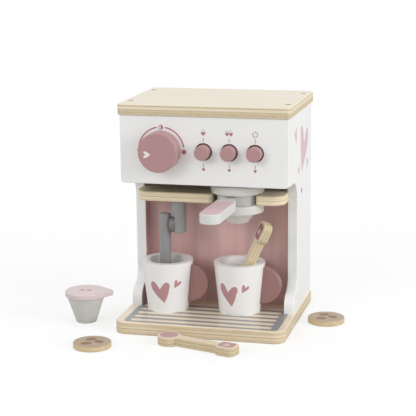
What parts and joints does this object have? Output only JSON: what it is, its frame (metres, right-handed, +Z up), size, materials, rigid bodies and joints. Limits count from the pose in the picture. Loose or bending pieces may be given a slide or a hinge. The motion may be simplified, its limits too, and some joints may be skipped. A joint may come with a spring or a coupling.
{
  "type": "toy coffee maker",
  "caption": "Wooden play espresso machine with turning knob, sprung push buttons, pull-out swinging filter holder, hinged steam wand, mugs, stirrers, capsule and bean discs.",
  "frame": {"origin": "centre of the base plate's underside, on the surface the machine stands on", "axes": "+Z up; the front with the knob and buttons faces -Y; +X to the right of somebody facing the front"},
  "size_m": [0.2971, 0.2329, 0.2406],
  "materials": {
    "birch_ply": "clear satin lacquer over birch plywood",
    "white_lacquer": "white satin lacquer on board",
    "rose_lacquer": "dusty rose satin lacquer on wood",
    "pale_rose_lacquer": "pale rose satin lacquer on wood",
    "warm_grey_lacquer": "warm light grey satin lacquer on wood",
    "grey_lacquer": "mid grey satin lacquer on wood",
    "dowel_wood": "bare beech end grain",
    "beech": "bare planed beech",
    "steel_screw": "zinc plated",
    "spring_steel": "drawn wire"
  },
  "bodies": {
    "machine": {"base_plate": "birch_ply", "left_side_panel": "white_lacquer", "right_side_panel": "white_lacquer", "front_panel": "white_lacquer", "top_plate": "birch_ply", "shelf_plate": "birch_ply", "back_panel": "rose_lacquer", "rear_cover": "white_lacquer", "rear_battens": "beech", "spring_rail": "beech", "base_screws": "steel_screw", "shelf_screws": "steel_screw", "rail_dowels": "dowel_wood", "cover_screws": "steel_screw", "top_dowels": "dowel_wood", "panel_dowels": "dowel_wood", "wand_rod": "grey_lacquer", "button_spring_left": "spring_steel", "button_spring_middle": "spring_steel", "button_spring_right": "spring_steel"},
    "knob_body": {"knob": "rose_lacquer", "knob_spindle": "dowel_wood", "knob_washer": "beech"},
    "button_left_body": {"button_left": "rose_lacquer"},
    "button_middle_body": {"button_middle": "rose_lacquer"},
    "button_right_body": {"button_right": "rose_lacquer"},
    "filter_slide_body": {"filter_collar": "warm_grey_lacquer"},
    "filter_body": {"filter_neck": "warm_grey_lacquer", "filter_flange": "warm_grey_lacquer", "filter_basket": "warm_grey_lacquer", "filter_handle": "white_lacquer", "filter_handle_inlay": "pale_rose_lacquer", "filter_handle_dowel": "dowel_wood", "filter_pivot_dowel": "dowel_wood"},
    "wand_body": {"wand_hub": "grey_lacquer", "wand_arm": "grey_lacquer", "wand_pin": "steel_screw"},
    "mug_left_body": {"mug_left": "white_lacquer", "mug_handle_left": "rose_lacquer"},
    "mug_right_body": {"mug_right": "white_lacquer", "mug_handle_right": "rose_lacquer"},
    "stirrer_in_mug_body": {"stirrer_in_mug": "birch_ply"},
    "stirrer_on_table_body": {"stirrer_on_table": "birch_ply"},
    "capsule_cup_body": {"capsule_cup": "warm_grey_lacquer"},
    "capsule_lid_body": {"capsule_lid": "pale_rose_lacquer"},
    "bean_disc_left_body": {"bean_disc_left": "birch_ply"},
    "bean_disc_right_body": {"bean_disc_right": "birch_ply"}
  },
  "joints": [
    {"name": "knob_turn", "type": "hinge", "parent": "machine", "child": "knob_body", "pos_m": [-0.0449, -0.05, 0.1926], "axis": [0, -1, 0], "continuous": true},
    {"name": "button_left_press", "type": "slide", "parent": "machine", "child": "button_left_body", "axis": [0, 1, 0], "range_m": [0, 0.005], "stiffness_N_per_m": 150, "springref_m": -0.004, "deforming": ["button_spring_left"]},
    {"name": "button_middle_press", "type": "slide", "parent": "machine", "child": "button_middle_body", "axis": [0, 1, 0], "range_m": [0, 0.005], "stiffness_N_per_m": 150, "springref_m": -0.004, "deforming": ["button_spring_middle"]},
    {"name": "button_right_press", "type": "slide", "parent": "machine", "child": "button_right_body", "axis": [0, 1, 0], "range_m": [0, 0.005], "stiffness_N_per_m": 150, "springref_m": -0.004, "deforming": ["button_spring_right"]},
    {"name": "filter_pull", "type": "slide", "parent": "machine", "child": "filter_slide_body", "axis": [0, -1, 0], "range_m": [0, 0.07]},
    {"name": "filter_swing", "type": "hinge", "parent": "filter_slide_body", "child": "filter_body", "pos_m": [0.028, -0.013, 0.14], "axis": [0, 0, 1], "range_deg": [-30, 30]},
    {"name": "wand_swing", "type": "hinge", "parent": "machine", "child": "wand_body", "pos_m": [-0.043, -0.015, 0.1059], "axis": [-1, 0, 0], "range_deg": [-7, 20]},
    {"name": "mug_left_lift", "type": "slide", "parent": "machine", "child": "mug_left_body", "axis": [0, 0, 1], "range_m": [0, 0.005]},
    {"name": "mug_right_lift", "type": "slide", "parent": "machine", "child": "mug_right_body", "axis": [0, 0, 1], "range_m": [0, 0.005]},
    {"name": "stirrer_in_mug_lift", "type": "slide", "parent": "mug_right_body", "child": "stirrer_in_mug_body", "axis": [0.41, 0.013, 0.912], "range_m": [0, 0.005]},
    {"name": "stirrer_on_table_lift", "type": "slide", "parent": "machine", "child": "stirrer_on_table_body", "axis": [0, 0, 1], "range_m": [0, 0.02]},
    {"name": "capsule_cup_lift", "type": "slide", "parent": "machine", "child": "capsule_cup_body", "axis": [0, 0, 1], "range_m": [0, 0.02]},
    {"name": "capsule_lid_lift", "type": "slide", "parent": "capsule_cup_body", "child": "capsule_lid_body", "axis": [0, 0, 1], "range_m": [0, 0.01]},
    {"name": "bean_disc_left_lift", "type": "slide", "parent": "machine", "child": "bean_disc_left_body", "axis": [0, 0, 1], "range_m": [0, 0.02]},
    {"name": "bean_disc_right_lift", "type": "slide", "parent": "machine", "child": "bean_disc_right_body", "axis": [0, 0, 1], "range_m": [0, 0.02]}
  ]
}
